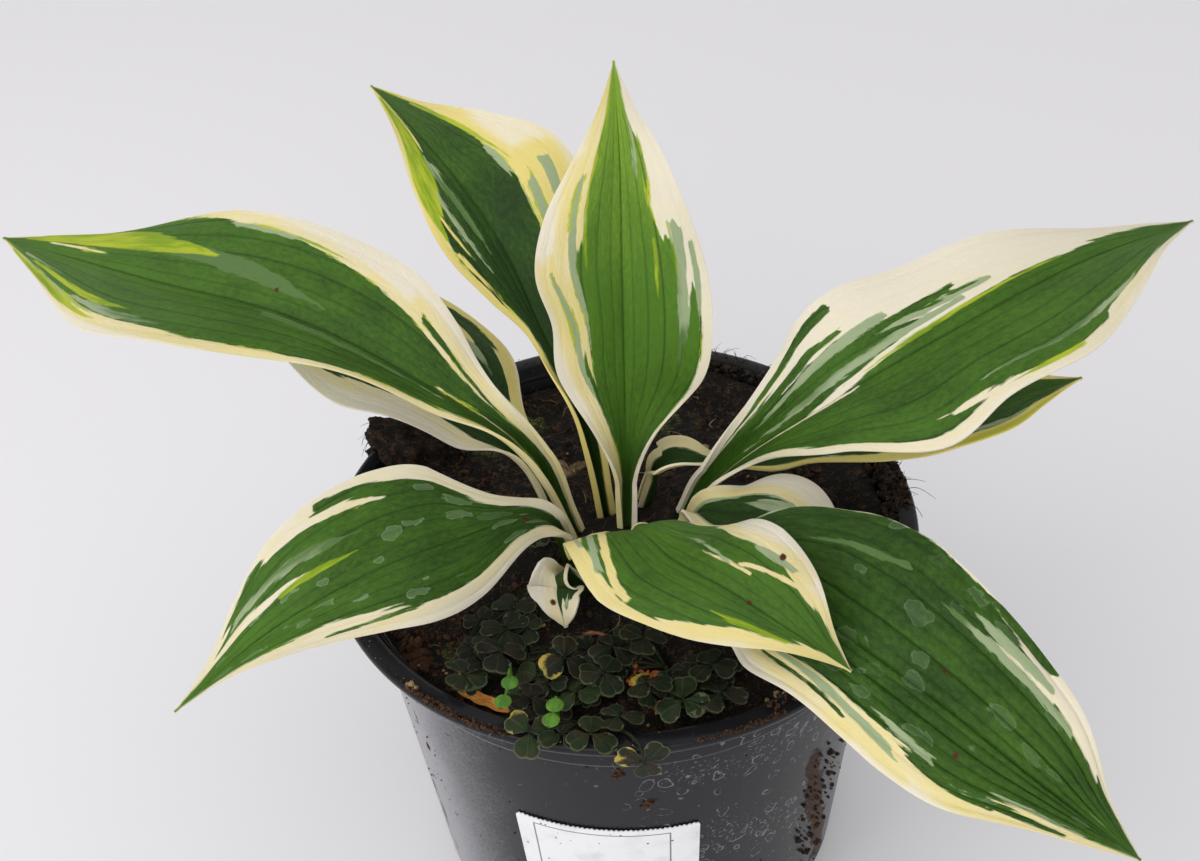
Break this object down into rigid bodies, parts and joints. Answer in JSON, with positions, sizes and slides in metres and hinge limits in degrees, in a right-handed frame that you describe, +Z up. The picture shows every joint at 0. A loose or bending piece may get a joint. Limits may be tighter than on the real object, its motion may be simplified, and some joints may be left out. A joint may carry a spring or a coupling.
{
  "type": "potted hosta plant",
  "caption": "Hosta with white-edged green leaves in a round black nursery pot of dark soil, with small clover-like weeds and a blank label on the pot wall.",
  "frame": {"origin": "middle of the pot's foot, in the plane that the pot stands on", "axes": "+Z up along the pot's axis; -Y towards the viewer of the picture, the side with the label; +X to the viewer's right, along the plant's greatest spread"},
  "size_m": [0.4006, 0.2626, 0.2841],
  "materials": {
    "pot_plastic": "black injection-moulded polypropylene with a soft sheen, dusty",
    "potting_soil": "damp dark peat with moss, crumbly",
    "leaf": "satin living leaf, green centre and cream margin",
    "weed_leaf": "matte living leaf, dark bronze green",
    "seed_leaf": "satin living leaf, bright green",
    "dried_leaf": "matte dry papery plant matter",
    "label_paper": "white coated paper label"
  },
  "bodies": {
    "root": {"pot": "pot_plastic", "soil": "potting_soil", "upright_leaf": "leaf", "long_left_leaf": "leaf", "lower_left_leaf": "leaf", "back_left_leaf": "leaf", "long_right_leaf": "leaf", "lower_right_leaf": "leaf", "front_right_leaf": "leaf", "front_heart_leaf": "leaf", "front_left_leaf": "leaf", "middle_right_leaf": "leaf", "small_hanging_leaf": "leaf", "young_curled_leaf": "leaf", "weed_stem_left": "weed_leaf", "weed_stem_middle": "weed_leaf", "weed_stem_front": "weed_leaf", "weed_stem_right": "weed_leaf", "weed_stem_crown": "weed_leaf", "seedling_left": "seed_leaf", "seedling_right": "seed_leaf", "dried_strip": "dried_leaf", "dried_twig": "dried_leaf", "dried_flower_right": "dried_leaf", "dried_flower_front": "dried_leaf", "dried_sheath": "dried_leaf", "label": "label_paper"}
  },
  "joints": []
}
